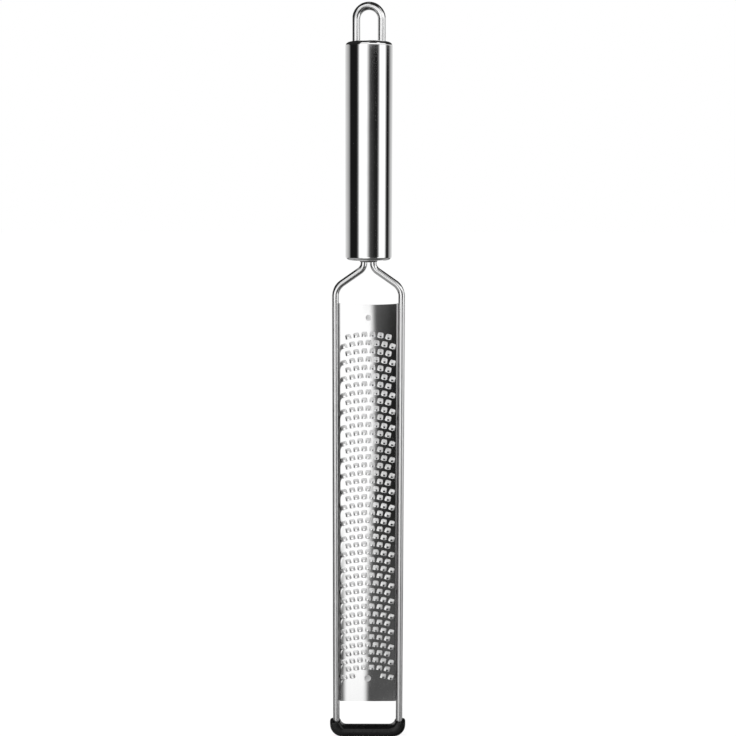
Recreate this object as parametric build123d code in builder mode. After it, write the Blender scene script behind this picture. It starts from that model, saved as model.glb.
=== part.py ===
from build123d import *
import math
import os

# A rasp zester that stands upright on its rubber foot, with its rasping face towards -Y.
# The origin is the middle of the foot's flat underside, and +Z runs up through the handle.

os.makedirs("parts", exist_ok=True)

# Fits
fit_gap = 0.05
cut_overrun = 1.0

# Handle, a thin tube with a rounded rim and a pressed cap in each end
handle_diameter = 22.0
handle_length = 100.0
handle_wall = 1.0
handle_edge_radius = 1.6
cap_thickness = 1.2
cap_skirt_wall = 0.8
cap_skirt_depth = 5.0

# Hanging loop, a round rod
loop_rod_diameter = 3.75
loop_leg_spacing = 11.8
loop_rise = 18.3
loop_leg_depth = 9.0
loop_weld_size = 1.1

# Frame, one bent wire: two legs in the handle, a neck, two rails and a bottom run
frame_wire_diameter = 3.3
frame_leg_spacing = 4.4
frame_leg_depth = 14.0
frame_rail_spacing = 31.6
neck_angle = 35.0
neck_corner_drop = 4.0
neck_corner_radius = 4.7
neck_shoulder_rise = 7.3
neck_shoulder_radius = 7.5
frame_foot_radius = 4.2
neck_weld_height = 1.2
neck_weld_overhang = 0.55
neck_weld_edge_radius = 0.45

# Foot, a rubber sleeve over the bottom run and both corners
foot_height = 5.4
foot_depth = 6.2
foot_collar_height = 8.0
foot_side_wall = 1.55
foot_inner_wall = 0.4
foot_corner_radius = 6.3
foot_inner_radius = 3.2
foot_edge_radius = 2.0
foot_rim_radius = 0.3

# Blade, one arched sheet with its long edges turned back against the rails
blade_length = 200.2
blade_foot_gap = 13.6
blade_thickness = 0.5
blade_arch_rise = 2.1
blade_bend_radius = 0.9
blade_edge_return = 2.65
blade_top_dip = 0.35
blade_bottom_rise = 0.85
press_mark_width = 3.0
press_mark_depth = 0.25
press_mark_top_inset = 6.4
press_mark_bottom_inset = 12.9

# Teeth, raised hoods with a mouth towards the foot, in rows that are arcs
narrow_row_teeth = 6
wide_row_teeth = 7
tooth_row_count = 44
last_row_side_teeth = 2
tooth_row_pitch = 3.975
tooth_column_pitch = 3.85
tooth_top_inset = 14.6
tooth_row_radius = 36.0
tooth_width = 3.0
tooth_heel_width = 1.9
tooth_length = 2.8
tooth_height = 0.62
tooth_heel_height = 0.12
tooth_mouth_width = 1.3
tooth_mouth_length = 1.75
tooth_mouth_lead = 0.3

# Tack welds behind the blade
blade_weld_count = 5
blade_weld_length = 2.4
blade_weld_end_inset = 12.0
blade_weld_radius = 0.85

# Places that follow from these sizes
handle_radius = handle_diameter / 2
bore_radius = handle_radius - handle_wall
loop_rod_radius = loop_rod_diameter / 2
loop_leg_x = loop_leg_spacing / 2
wire_radius = frame_wire_diameter / 2
frame_leg_x = frame_leg_spacing / 2
rail_x = frame_rail_spacing / 2
bottom_run_z = foot_height / 2
blade_bottom_z = foot_height + blade_foot_gap
blade_top_z = blade_bottom_z + blade_length
shoulder_z = blade_top_z + neck_shoulder_rise
neck_corner_z = shoulder_z + (rail_x - frame_leg_x) * math.tan(math.radians(neck_angle))
handle_bottom_z = neck_corner_z + neck_corner_drop
handle_top_z = handle_bottom_z + handle_length
loop_leg_places = [(-loop_leg_x, 0, handle_top_z), (loop_leg_x, 0, handle_top_z)]
frame_leg_places = [(-frame_leg_x, 0, handle_bottom_z), (frame_leg_x, 0, handle_bottom_z)]


# Handle tube
with BuildPart() as handle_tube:
    with BuildSketch(Plane.XY.offset(handle_bottom_z)):
        Circle(handle_radius)
    extrude(amount=handle_length)
    fillet(handle_tube.edges().filter_by(GeomType.CIRCLE), handle_edge_radius)
    with BuildSketch(Plane.XY.offset(handle_bottom_z)):
        Circle(bore_radius)
    extrude(amount=handle_length, mode=Mode.SUBTRACT)
handle_tube.part.label = "handle_tube"
export_step(handle_tube.part, "parts/handle_tube.step")


# Caps, each a shallow pressed cup whose face closes the end of the tube
cap_radius = bore_radius - fit_gap

with BuildPart() as handle_top_cap:
    with BuildSketch(Plane.XY.offset(handle_top_z)):
        Circle(cap_radius)
    extrude(amount=-(cap_thickness + cap_skirt_depth))
    with BuildSketch(Plane.XY.offset(handle_top_z - cap_thickness)):
        Circle(cap_radius - cap_skirt_wall)
    extrude(amount=-cap_skirt_depth, mode=Mode.SUBTRACT)
    with Locations(*loop_leg_places):
        Hole(loop_rod_radius + fit_gap)
handle_top_cap.part.label = "handle_top_cap"
export_step(handle_top_cap.part, "parts/handle_top_cap.step")

with BuildPart() as handle_bottom_cap:
    with BuildSketch(Plane.XY.offset(handle_bottom_z)):
        Circle(cap_radius)
    extrude(amount=cap_thickness + cap_skirt_depth)
    with BuildSketch(Plane.XY.offset(handle_bottom_z + cap_thickness)):
        Circle(cap_radius - cap_skirt_wall)
    extrude(amount=cap_skirt_depth, mode=Mode.SUBTRACT)
    with Locations(*frame_leg_places):
        Hole(wire_radius + fit_gap)
handle_bottom_cap.part.label = "handle_bottom_cap"
export_step(handle_bottom_cap.part, "parts/handle_bottom_cap.step")


# Hanging loop
loop_crown_z = handle_top_z + loop_rise - loop_rod_radius - loop_leg_x
loop_leg_end_z = handle_top_z - loop_leg_depth

with BuildPart() as hanging_loop:
    with BuildLine(Plane.XZ) as loop_line:
        Line((-loop_leg_x, loop_leg_end_z), (-loop_leg_x, loop_crown_z))
        ThreePointArc(
            (-loop_leg_x, loop_crown_z),
            (0, loop_crown_z + loop_leg_x),
            (loop_leg_x, loop_crown_z),
        )
        Line((loop_leg_x, loop_crown_z), (loop_leg_x, loop_leg_end_z))
    with BuildSketch(Plane(origin=loop_line.line @ 0, z_dir=loop_line.line % 0)):
        Circle(loop_rod_radius)
    sweep(path=loop_line.line)
hanging_loop.part.label = "hanging_loop"
export_step(hanging_loop.part, "parts/hanging_loop.step")


# Weld rings round the loop's legs, under the top cap
loop_weld_z = handle_top_z - cap_thickness - fit_gap
loop_weld_bore = loop_rod_radius + fit_gap

with BuildPart() as loop_welds:
    for side in (-1, 1):
        ring_axis = Axis((side * loop_leg_x, 0, 0), (0, 0, 1))
        with BuildSketch(Plane.XZ):
            with BuildLine():
                Polyline(
                    (side * (loop_leg_x - loop_weld_bore), loop_weld_z),
                    (side * (loop_leg_x - loop_weld_bore - loop_weld_size), loop_weld_z),
                    (side * (loop_leg_x - loop_weld_bore), loop_weld_z - loop_weld_size),
                    close=True,
                )
            make_face()
        revolve(axis=ring_axis)
loop_welds.part.label = "loop_welds"
export_step(loop_welds.part, "parts/loop_welds.step")


# Frame wire
with BuildLine(Plane.XZ) as frame_line:
    FilletPolyline(
        (-frame_leg_x, handle_bottom_z + frame_leg_depth),
        (-frame_leg_x, neck_corner_z),
        (-rail_x, shoulder_z),
        (-rail_x, bottom_run_z),
        (rail_x, bottom_run_z),
        (rail_x, shoulder_z),
        (frame_leg_x, neck_corner_z),
        (frame_leg_x, handle_bottom_z + frame_leg_depth),
        radius=[
            neck_corner_radius,
            neck_shoulder_radius,
            frame_foot_radius,
            frame_foot_radius,
            neck_shoulder_radius,
            neck_corner_radius,
        ],
    )
frame_start = Plane(origin=frame_line.line @ 0, z_dir=frame_line.line % 0)

with BuildPart() as frame_wire:
    with BuildSketch(frame_start):
        Circle(wire_radius)
    sweep(path=frame_line.line)
frame_wire.part.label = "frame_wire"
export_step(frame_wire.part, "parts/frame_wire.step")


# Weld bead round both frame legs, under the bottom cap
with BuildPart() as neck_weld:
    with BuildSketch(Plane.XY.offset(handle_bottom_z - fit_gap)):
        SlotCenterToCenter(frame_leg_spacing, frame_wire_diameter + 2 * neck_weld_overhang)
    extrude(amount=-neck_weld_height)
    fillet(neck_weld.faces().sort_by(Axis.Z)[0].edges(), neck_weld_edge_radius)
    with BuildSketch(frame_start):
        Circle(wire_radius + fit_gap)
    sweep(path=frame_line.line, mode=Mode.SUBTRACT)
neck_weld.part.label = "neck_weld"
export_step(neck_weld.part, "parts/neck_weld.step")


# Foot
foot_side_x = rail_x + wire_radius + foot_side_wall
foot_inner_x = rail_x - wire_radius - foot_inner_wall
foot_stock_z = foot_collar_height + foot_inner_radius

with BuildPart() as foot:
    with BuildSketch(Plane.XZ.offset(-foot_depth / 2)) as foot_outline:
        with BuildLine():
            Polyline(
                (-foot_side_x, foot_stock_z),
                (-foot_side_x, 0),
                (foot_side_x, 0),
                (foot_side_x, foot_stock_z),
                (foot_inner_x, foot_stock_z),
                (foot_inner_x, foot_height),
                (-foot_inner_x, foot_height),
                (-foot_inner_x, foot_stock_z),
                close=True,
            )
        make_face()
        fillet(foot_outline.vertices().group_by(Axis.Y)[0], foot_corner_radius)
        inner_corners = foot_outline.vertices().filter_by_position(
            Axis.Y, foot_height - fit_gap, foot_height + fit_gap
        )
        fillet(inner_corners, foot_inner_radius)
    extrude(amount=foot_depth)
    long_edges = foot.faces().filter_by(Axis.Y).edges()
    fillet(
        long_edges.filter_by(lambda edge: edge.center().Z < foot_stock_z - fit_gap),
        foot_edge_radius,
    )
    split(bisect_by=Plane.XY.offset(foot_collar_height), keep=Keep.BOTTOM)
    fillet(foot.faces().group_by(Axis.Z)[-1].edges(), foot_rim_radius)
    with BuildSketch(frame_start):
        Circle(wire_radius + fit_gap)
    sweep(path=frame_line.line, mode=Mode.SUBTRACT)
foot.part.label = "foot"
export_step(foot.part, "parts/foot.step")


# Blade sheet: an arch whose corners bend back along the inner sides of the rails
blade_side_x = rail_x - wire_radius - fit_gap
blade_edge_y = -wire_radius
blade_front_y = blade_edge_y - blade_arch_rise
blade_return_y = blade_edge_y + blade_edge_return
blade_arch_radius = (blade_side_x**2 + blade_arch_rise**2) / (2 * blade_arch_rise)
blade_arch_centre_y = blade_front_y + blade_arch_radius
press_mark_radius = ((press_mark_width / 2) ** 2 + press_mark_depth**2) / (2 * press_mark_depth)
press_mark_centre_y = blade_front_y + press_mark_depth - press_mark_radius
press_mark_places = [
    (0, press_mark_centre_y, blade_top_z - press_mark_top_inset),
    (0, press_mark_centre_y, blade_bottom_z + press_mark_bottom_inset),
]

# One tooth on a flat sheet: its foot end is the tall end, and z is the height above the sheet
tooth_slope = (tooth_height - tooth_heel_height) / tooth_length

with BuildPart() as tooth_hood:
    with BuildSketch(Plane.XY.offset(-blade_thickness / 2)):
        Polygon(
            (-tooth_width / 2, -tooth_length / 2),
            (tooth_width / 2, -tooth_length / 2),
            (tooth_heel_width / 2, tooth_length / 2),
            (-tooth_heel_width / 2, tooth_length / 2),
            align=None,
        )
    extrude(amount=blade_thickness / 2 + tooth_height)
    hood_top = Plane(origin=(0, -tooth_length / 2, tooth_height), z_dir=(0, tooth_slope, 1))
    split(bisect_by=hood_top, keep=Keep.BOTTOM)

with BuildPart() as tooth_mouth:
    with BuildSketch(Plane.XY.offset(-blade_thickness - cut_overrun)):
        with Locations((0, -tooth_length / 2 - tooth_mouth_lead)):
            Rectangle(
                tooth_mouth_width,
                tooth_mouth_length + tooth_mouth_lead,
                align=(Align.CENTER, Align.MIN),
            )
    extrude(amount=blade_thickness + tooth_height + 2 * cut_overrun)


def tooth_place(column_offset, row_z):
    """Where a tooth stands on the arched sheet, turned to face outwards and along its row's arc."""
    x = column_offset * tooth_column_pitch
    arch_angle = math.asin(x / blade_arch_radius)
    row_angle = math.asin(x / tooth_row_radius)
    y = blade_arch_centre_y - blade_arch_radius * math.cos(arch_angle)
    z = row_z - tooth_row_radius * (1 - math.cos(row_angle))
    outwards = (math.sin(arch_angle), -math.cos(arch_angle), 0)
    along_row = (
        math.cos(arch_angle) * math.cos(row_angle),
        math.sin(arch_angle) * math.cos(row_angle),
        -math.sin(row_angle),
    )
    return Plane(origin=(x, y, z), x_dir=along_row, z_dir=outwards)


tooth_places = []
for row in range(tooth_row_count):
    row_teeth = wide_row_teeth if row % 2 else narrow_row_teeth
    row_z = blade_top_z - tooth_top_inset - row * tooth_row_pitch
    columns = list(range(row_teeth))
    if row == tooth_row_count - 1:
        # The last row leaves its middle free for the press mark
        columns = columns[:last_row_side_teeth] + columns[-last_row_side_teeth:]
    for column in columns:
        tooth_places.append(tooth_place(column - (row_teeth - 1) / 2, row_z))

with BuildPart() as press_hollow:
    Sphere(press_mark_radius)

with BuildPart() as press_bump:
    Sphere(press_mark_radius + blade_thickness)
    bump_root_y = press_mark_radius - press_mark_depth + blade_thickness / 2
    split(bisect_by=Plane.XZ.offset(-bump_root_y), keep=Keep.BOTTOM)

with BuildPart() as blade:
    with BuildSketch(Plane.XY.offset(blade_bottom_z)) as sheet_section:
        with BuildLine():
            ThreePointArc(
                (-blade_side_x, blade_edge_y),
                (0, blade_front_y),
                (blade_side_x, blade_edge_y),
            )
            Polyline(
                (blade_side_x, blade_edge_y),
                (blade_side_x, blade_return_y + cut_overrun),
                (-blade_side_x, blade_return_y + cut_overrun),
                (-blade_side_x, blade_edge_y),
            )
        make_face()
        fillet(sheet_section.vertices().group_by(Axis.Y)[0], blade_bend_radius)
        offset(amount=-blade_thickness, mode=Mode.SUBTRACT)
        with Locations((0, blade_return_y)):
            Rectangle(
                frame_rail_spacing,
                2 * cut_overrun,
                align=(Align.CENTER, Align.MIN),
                mode=Mode.SUBTRACT,
            )
    extrude(amount=blade_length)
    with Locations(*tooth_places):
        add(tooth_hood.part, clean=False)
    with Locations(*tooth_places):
        add(tooth_mouth.part, mode=Mode.SUBTRACT, clean=False)
    # Both ends are cut to a shallow inward curve
    with BuildSketch(Plane.XZ):
        with BuildLine():
            ThreePointArc(
                (-blade_side_x, blade_top_z),
                (0, blade_top_z - blade_top_dip),
                (blade_side_x, blade_top_z),
            )
            Line((blade_side_x, blade_top_z), (-blade_side_x, blade_top_z))
        make_face()
        with BuildLine():
            ThreePointArc(
                (-blade_side_x, blade_bottom_z),
                (0, blade_bottom_z + blade_bottom_rise),
                (blade_side_x, blade_bottom_z),
            )
            Line((blade_side_x, blade_bottom_z), (-blade_side_x, blade_bottom_z))
        make_face()
    extrude(amount=-blade_front_y + cut_overrun, both=True, mode=Mode.SUBTRACT, clean=False)
    with Locations(*press_mark_places):
        add(press_bump.part, clean=False)
        add(press_hollow.part, mode=Mode.SUBTRACT, clean=False)
blade.part.label = "blade"
export_step(blade.part, "parts/blade.step")


# Tack welds behind the blade, in the groove between each turned edge and its rail
weld_first_z = blade_bottom_z + blade_weld_end_inset
weld_pitch = (blade_length - 2 * blade_weld_end_inset) / (blade_weld_count - 1)

with BuildPart() as blade_welds:
    with BuildSketch(Plane.XY.offset(weld_first_z - blade_weld_length / 2)):
        with Locations((blade_side_x + blade_weld_radius / 2, blade_return_y)):
            Circle(blade_weld_radius)
        with Locations((blade_side_x + fit_gap, blade_return_y + fit_gap)):
            Rectangle(
                blade_weld_radius * 2,
                blade_weld_radius * 2,
                align=(Align.MAX, Align.MAX),
                mode=Mode.SUBTRACT,
            )
        with Locations((rail_x, 0)):
            Circle(wire_radius + fit_gap, mode=Mode.SUBTRACT)
    extrude(amount=blade_weld_length)
    first_weld = blade_welds.part
    with Locations(*[(0, 0, weld_pitch * step) for step in range(1, blade_weld_count)]):
        add(first_weld)
    mirror(about=Plane.YZ)
blade_welds.part.label = "blade_welds"
export_step(blade_welds.part, "parts/blade_welds.step")
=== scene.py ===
"""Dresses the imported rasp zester: its pieces, their finishes, and a plain studio."""

import math
import random

import bpy
from bpy.props import FloatProperty, FloatVectorProperty, IntProperty, PointerProperty
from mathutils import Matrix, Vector, noise


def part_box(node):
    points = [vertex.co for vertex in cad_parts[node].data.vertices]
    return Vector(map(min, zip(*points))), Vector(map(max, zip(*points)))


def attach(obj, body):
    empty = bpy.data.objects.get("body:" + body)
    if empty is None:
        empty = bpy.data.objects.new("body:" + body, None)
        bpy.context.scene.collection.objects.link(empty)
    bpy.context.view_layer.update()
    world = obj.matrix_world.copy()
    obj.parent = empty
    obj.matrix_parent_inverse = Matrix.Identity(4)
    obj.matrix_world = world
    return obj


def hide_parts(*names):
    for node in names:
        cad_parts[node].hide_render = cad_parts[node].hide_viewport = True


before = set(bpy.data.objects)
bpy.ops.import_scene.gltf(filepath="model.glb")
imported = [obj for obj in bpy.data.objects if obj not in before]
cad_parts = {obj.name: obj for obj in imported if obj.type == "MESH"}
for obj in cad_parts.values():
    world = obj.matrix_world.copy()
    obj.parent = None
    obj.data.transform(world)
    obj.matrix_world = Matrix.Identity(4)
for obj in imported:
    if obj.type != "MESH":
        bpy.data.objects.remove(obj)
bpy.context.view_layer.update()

bl_info = {
    "name": "Rasp zester",
    "version": (1, 0, 0),
    "blender": (4, 5, 0),
    "location": "View3D > Sidebar > Rasp zester",
    "description": "Builds the dressed pieces of a rasp zester round its packed solids",
    "category": "Object",
}

MM = 0.001
# How far a support ring lies from the end of a straight run
SUPPORT = 0.3 * MM
# Rounding of the cut ends of wire and rod
END_ROUND = 0.2 * MM
# Edges that bend more than this stay sharp in the shading
SHARP_ANGLE = math.radians(50)
# Width of each soft lamp, in metres
LAMP_SIZE = 0.9
BODY = "root"
# The materials made so far, by the name of the function that makes them
FINISHES = {}

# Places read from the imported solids, in metres
TUBE_LOW, TUBE_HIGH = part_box("handle_tube")
LOOP_LOW, LOOP_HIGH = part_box("hanging_loop")
WIRE_LOW, WIRE_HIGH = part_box("frame_wire")
BLADE_LOW, BLADE_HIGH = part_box("blade")
FOOT_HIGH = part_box("foot")[1]
NECK_WELD_LOW, NECK_WELD_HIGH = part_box("neck_weld")
TACKS_LOW, TACKS_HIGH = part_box("blade_welds")


class ZesterSizes(bpy.types.PropertyGroup):
    """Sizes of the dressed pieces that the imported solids' boxes don't give."""

    rim_radius: FloatProperty(
        name="Rim radius",
        description="Rounding of the handle tube's end edges",
        default=1.6 * MM,
        unit="LENGTH",
    )
    tube_wall: FloatProperty(
        name="Tube wall",
        description="Wall of the handle tube",
        default=1.0 * MM,
        unit="LENGTH",
    )
    wire_radius: FloatProperty(
        name="Frame wire radius",
        description="Radius of the bent frame wire",
        default=1.65 * MM,
        unit="LENGTH",
    )
    leg_x: FloatProperty(
        name="Frame leg place",
        description="Distance of each frame leg from the middle, in the handle",
        default=2.2 * MM,
        unit="LENGTH",
    )
    neck_angle: FloatProperty(
        name="Neck angle",
        description="Slope of the frame wire between handle and rail",
        default=math.radians(35),
        subtype="ANGLE",
    )
    neck_corner_drop: FloatProperty(
        name="Neck corner drop",
        description="Depth of the upper bend's corner under the handle",
        default=4.0 * MM,
        unit="LENGTH",
    )
    neck_corner_radius: FloatProperty(
        name="Neck corner radius",
        description="Bend of the frame wire under the handle",
        default=4.7 * MM,
        unit="LENGTH",
    )
    shoulder_radius: FloatProperty(
        name="Shoulder radius",
        description="Bend of the frame wire above each rail",
        default=7.5 * MM,
        unit="LENGTH",
    )
    foot_bend_radius: FloatProperty(
        name="Foot bend radius",
        description="Bend of the frame wire inside the foot",
        default=4.2 * MM,
        unit="LENGTH",
    )
    loop_radius: FloatProperty(
        name="Loop rod radius",
        description="Radius of the hanging loop's rod",
        default=1.875 * MM,
        unit="LENGTH",
    )
    rod_sides: IntProperty(
        name="Rod sides", description="Faces round each wire and rod", default=48, min=12
    )
    sheet: FloatProperty(
        name="Sheet thickness",
        description="Thickness of the blade's sheet",
        default=0.5 * MM,
        unit="LENGTH",
    )
    arch_rise: FloatProperty(
        name="Arch rise",
        description="Rise of the blade's arch over its turned edges",
        default=2.1 * MM,
        unit="LENGTH",
    )
    edge_bend: FloatProperty(
        name="Edge bend radius",
        description="Outer radius of the blade's turned edges",
        default=0.9 * MM,
        unit="LENGTH",
    )
    tooth_rise: FloatProperty(
        name="Tooth rise",
        description="Height of a tooth's crown above the sheet",
        default=0.42 * MM,
        unit="LENGTH",
    )
    tooth_flank: FloatProperty(
        name="Tooth flank",
        description="Width of the slope round a tooth's crown",
        default=0.98 * MM,
        unit="LENGTH",
    )
    scallop: FloatProperty(
        name="Edge dent",
        description="Depth of the dent at the blade's edge beside each wide row of teeth",
        default=0.2 * MM,
        unit="LENGTH",
    )


class ZesterFinish(bpy.types.PropertyGroup):
    """Colours and smoothness of the finishes."""

    polished: FloatVectorProperty(
        name="Polished steel",
        description="Colour of the handle's polished steel",
        default=(0.80, 0.80, 0.80),
        subtype="COLOR",
    )
    polished_roughness: FloatProperty(
        name="Polish roughness",
        description="Roughness of the handle's polished steel",
        default=0.05,
        subtype="FACTOR",
    )
    wire: FloatVectorProperty(
        name="Wire steel",
        description="Colour of the drawn wire and rod",
        default=(0.78, 0.78, 0.78),
        subtype="COLOR",
    )
    wire_roughness: FloatProperty(
        name="Wire roughness",
        description="Roughness of the drawn wire and rod",
        default=0.14,
        subtype="FACTOR",
    )
    rail_dulling: FloatProperty(
        name="Rail dulling",
        description="Roughness that scouring has added to the rails beside the blade",
        default=0.19,
        subtype="FACTOR",
    )
    blade: FloatVectorProperty(
        name="Blade steel",
        description="Colour of the blade's rolled sheet",
        default=(0.79, 0.79, 0.79),
        subtype="COLOR",
    )
    blade_roughness: FloatProperty(
        name="Blade roughness",
        description="Roughness of the blade's rolled sheet",
        default=0.08,
        subtype="FACTOR",
    )
    pressed: FloatVectorProperty(
        name="Pressed steel",
        description="Colour of the sheet where the press stretched it",
        default=(0.80, 0.80, 0.80),
        subtype="COLOR",
    )
    pressed_roughness: FloatProperty(
        name="Pressed roughness",
        description="Roughness of the sheet on the slopes of the teeth",
        default=0.36,
        subtype="FACTOR",
    )
    weld: FloatVectorProperty(
        name="Weld metal",
        description="Colour of the weld beads",
        default=(0.34, 0.33, 0.32),
        subtype="COLOR",
    )
    rubber: FloatVectorProperty(
        name="Foot rubber",
        description="Colour of the foot's black rubber",
        default=(0.003, 0.003, 0.003),
        subtype="COLOR",
    )


class ZesterStudio(bpy.types.PropertyGroup):
    """The camera's place and the studio's brightness."""

    camera_place: FloatVectorProperty(
        name="Camera place",
        description="Where the camera stands",
        default=(-0.00017, -0.5691, 0.2766),
        subtype="TRANSLATION",
        unit="LENGTH",
    )
    camera_aim_height: FloatProperty(
        name="Aim height",
        description="Height that the camera looks at over the middle of the foot",
        default=0.1879,
        unit="LENGTH",
    )
    camera_lens: FloatProperty(
        name="Lens", description="Focal length in millimetres", default=58.5
    )
    camera_roll: FloatProperty(
        name="Roll",
        description="Turn of the camera about its own axis",
        default=math.radians(0.11),
        subtype="ANGLE",
    )
    panel_light: FloatProperty(
        name="Panel brightness",
        description="Brightness of the white panels that the metal mirrors",
        default=1.35,
    )
    wall_light: FloatProperty(
        name="Wall brightness",
        description="Brightness of the walls behind, as the metal mirrors them",
        default=0.62,
    )


def smooth_step(value, low, high):
    """0 below low, 1 above high, and an even curve between them."""
    share = min(max((value - low) / (high - low), 0.0), 1.0)
    return share * share * (3 - 2 * share)


def even_slope(share, soft=0.2):
    """0 at 0 and 1 at 1, straight between them but for a soft start and end."""
    if share < soft:
        return share * share / (2 * soft * (1 - soft))
    if share > 1 - soft:
        return 1 - (1 - share) ** 2 / (2 * soft * (1 - soft))
    return (share - soft / 2) / (1 - soft)


def new_piece(name, points, faces, material):
    """Makes a mesh piece with smooth shading and sharp corners, riding on the zester's body."""
    mesh = bpy.data.meshes.new(name)
    mesh.from_pydata([tuple(p) for p in points], [], faces)
    mesh.validate()
    mesh.update()
    mesh.shade_smooth()
    mesh.set_sharp_from_angle(angle=SHARP_ANGLE)
    piece = bpy.data.objects.new(name, mesh)
    bpy.context.scene.collection.objects.link(piece)
    mesh.materials.append(material)
    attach(piece, BODY)
    return piece


def stitch_rings(faces, rings):
    """Adds the faces between neighbouring closed rings, each a list of point numbers."""
    for first, second in zip(rings, rings[1:]):
        count = len(first)
        for k in range(count):
            after = (k + 1) % count
            faces.append((first[k], first[after], second[after], second[k]))


def lathe(profile, segments):
    """Turns a closed profile of (radius, height) points round the Z axis."""
    points = []
    rings = []
    for radius, height in profile:
        rings.append(list(range(len(points), len(points) + segments)))
        for k in range(segments):
            angle = 2 * math.pi * k / segments
            points.append((radius * math.cos(angle), radius * math.sin(angle), height))
    faces = []
    stitch_rings(faces, rings + rings[:1])
    return points, faces


def arc(centre, radius, start, end, steps):
    """Points on an arc in a plane, from angle start to angle end."""
    found = []
    for k in range(steps + 1):
        angle = start + (end - start) * k / steps
        found.append((centre[0] + radius * math.cos(angle), centre[1] + radius * math.sin(angle)))
    return found


def bent_line(corners, radii):
    """A line in the XZ plane through corners, rounded to radii: a list of (place, direction)."""
    bend_steps = 14
    stations = []
    for k, corner in enumerate(corners):
        corner = Vector(corner)
        if k in (0, len(corners) - 1):
            other = Vector(corners[1] if k == 0 else corners[-2])
            way = (other - corner if k == 0 else corner - other).normalized()
            stations.append((corner, way))
            continue
        way_in = (corner - Vector(corners[k - 1])).normalized()
        way_out = (Vector(corners[k + 1]) - corner).normalized()
        turn = way_in.angle_signed(way_out)
        radius = radii[k - 1]
        reach = radius * math.tan(abs(turn) / 2)
        side = Vector((-way_in.y, way_in.x)) * (1 if turn < 0 else -1)
        centre = corner - way_in * reach + side * radius
        for step in range(bend_steps + 1):
            angle = -turn * step / bend_steps
            way = Vector(
                (
                    way_in.x * math.cos(angle) - way_in.y * math.sin(angle),
                    way_in.x * math.sin(angle) + way_in.y * math.cos(angle),
                )
            )
            arm = Vector((-way.y, way.x)) * (1 if turn < 0 else -1)
            stations.append((centre - arm * radius, way))
    return stations


def sweep_rod(stations, radius, sides):
    """A round rod along stations in the XZ plane, its two ends slightly rounded and closed.

    Long straight runs get a support ring near each end, so that their shading stays straight.
    """
    start, start_way = stations[0]
    end, end_way = stations[-1]
    tip_radius = radius - END_ROUND
    trail = [(start, start_way, tip_radius), (start + start_way * END_ROUND, start_way, radius)]
    trail += [(place, way, radius) for place, way in stations[1:-1]]
    trail.append((end - end_way * END_ROUND, end_way, radius))
    long_run = 8 * SUPPORT
    supported = trail[:2]
    for place, way, ring_radius in trail[2:]:
        before, before_way, _ = supported[-1]
        if (place - before).length > long_run:
            supported.append((before + before_way * SUPPORT, before_way, radius))
            supported.append((place - way * SUPPORT, way, radius))
        supported.append((place, way, ring_radius))
    supported.append((end, end_way, tip_radius))
    points = []
    rings = []
    for place, way, ring_radius in supported:
        rings.append(list(range(len(points), len(points) + sides)))
        for k in range(sides):
            angle = 2 * math.pi * k / sides
            across = ring_radius * math.cos(angle)
            points.append(
                (
                    place.x - way.y * across,
                    ring_radius * math.sin(angle),
                    place.y + way.x * across,
                )
            )
    faces = []
    stitch_rings(faces, rings)
    faces.append(tuple(reversed(rings[0])))
    faces.append(tuple(rings[-1]))
    return points, faces


class NodeDesk:
    """Adds nodes to a tree and joins them, left to right."""

    def __init__(self, tree):
        self.tree = tree
        self.column = 0

    def add(self, kind, values=None, **settings):
        """A node with these settings, its inputs set to values or joined to other nodes' outputs."""
        node = self.tree.nodes.new(kind)
        self.column += 1
        node.location = (self.column * 180, -(self.column % 5) * 160)
        for name, value in settings.items():
            setattr(node, name, value)
        for name, value in (values or {}).items():
            if isinstance(value, bpy.types.NodeSocket):
                self.tree.links.new(value, node.inputs[name])
            else:
                node.inputs[name].default_value = value
        return node

    def math(self, operation, first, second=0.0, clamp=False):
        """The output of a Math node."""
        node = self.add("ShaderNodeMath", {0: first, 1: second}, operation=operation)
        node.use_clamp = clamp
        return node.outputs[0]

    def span(self, value, low, high, to_low=0.0, to_high=1.0, curve="SMOOTHSTEP"):
        """Maps value from low..high to to_low..to_high."""
        node = self.add(
            "ShaderNodeMapRange",
            {
                "Value": value,
                "From Min": low,
                "From Max": high,
                "To Min": to_low,
                "To Max": to_high,
            },
            interpolation_type=curve,
        )
        return node.outputs["Result"]

    def window(self, value, low, high, soft):
        """1 between low and high, falling to 0 over soft on either side."""
        rise = self.span(value, low - soft, low + soft)
        fall = self.span(value, high - soft, high + soft, 1.0, 0.0)
        return self.math("MULTIPLY", rise, fall)

    def blend(self, share, first, second):
        """first where share is 0, second where it is 1, as one number."""
        node = self.add("ShaderNodeMix", {0: share, 2: first, 3: second}, data_type="FLOAT")
        return node.outputs[0]


def new_group(name, inputs, outputs):
    """A shader node group with number inputs (name, default) and number outputs."""
    tree = bpy.data.node_groups.new(name, "ShaderNodeTree")
    for label, default in inputs:
        socket = tree.interface.new_socket(name=label, in_out="INPUT", socket_type="NodeSocketFloat")
        socket.default_value = default
    for label in outputs:
        tree.interface.new_socket(name=label, in_out="OUTPUT", socket_type="NodeSocketFloat")
    desk = NodeDesk(tree)
    return tree, desk, desk.add("NodeGroupInput").outputs


def close_group(desk, values):
    """Joins values to the group's outputs."""
    desk.add("NodeGroupOutput", values)


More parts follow.
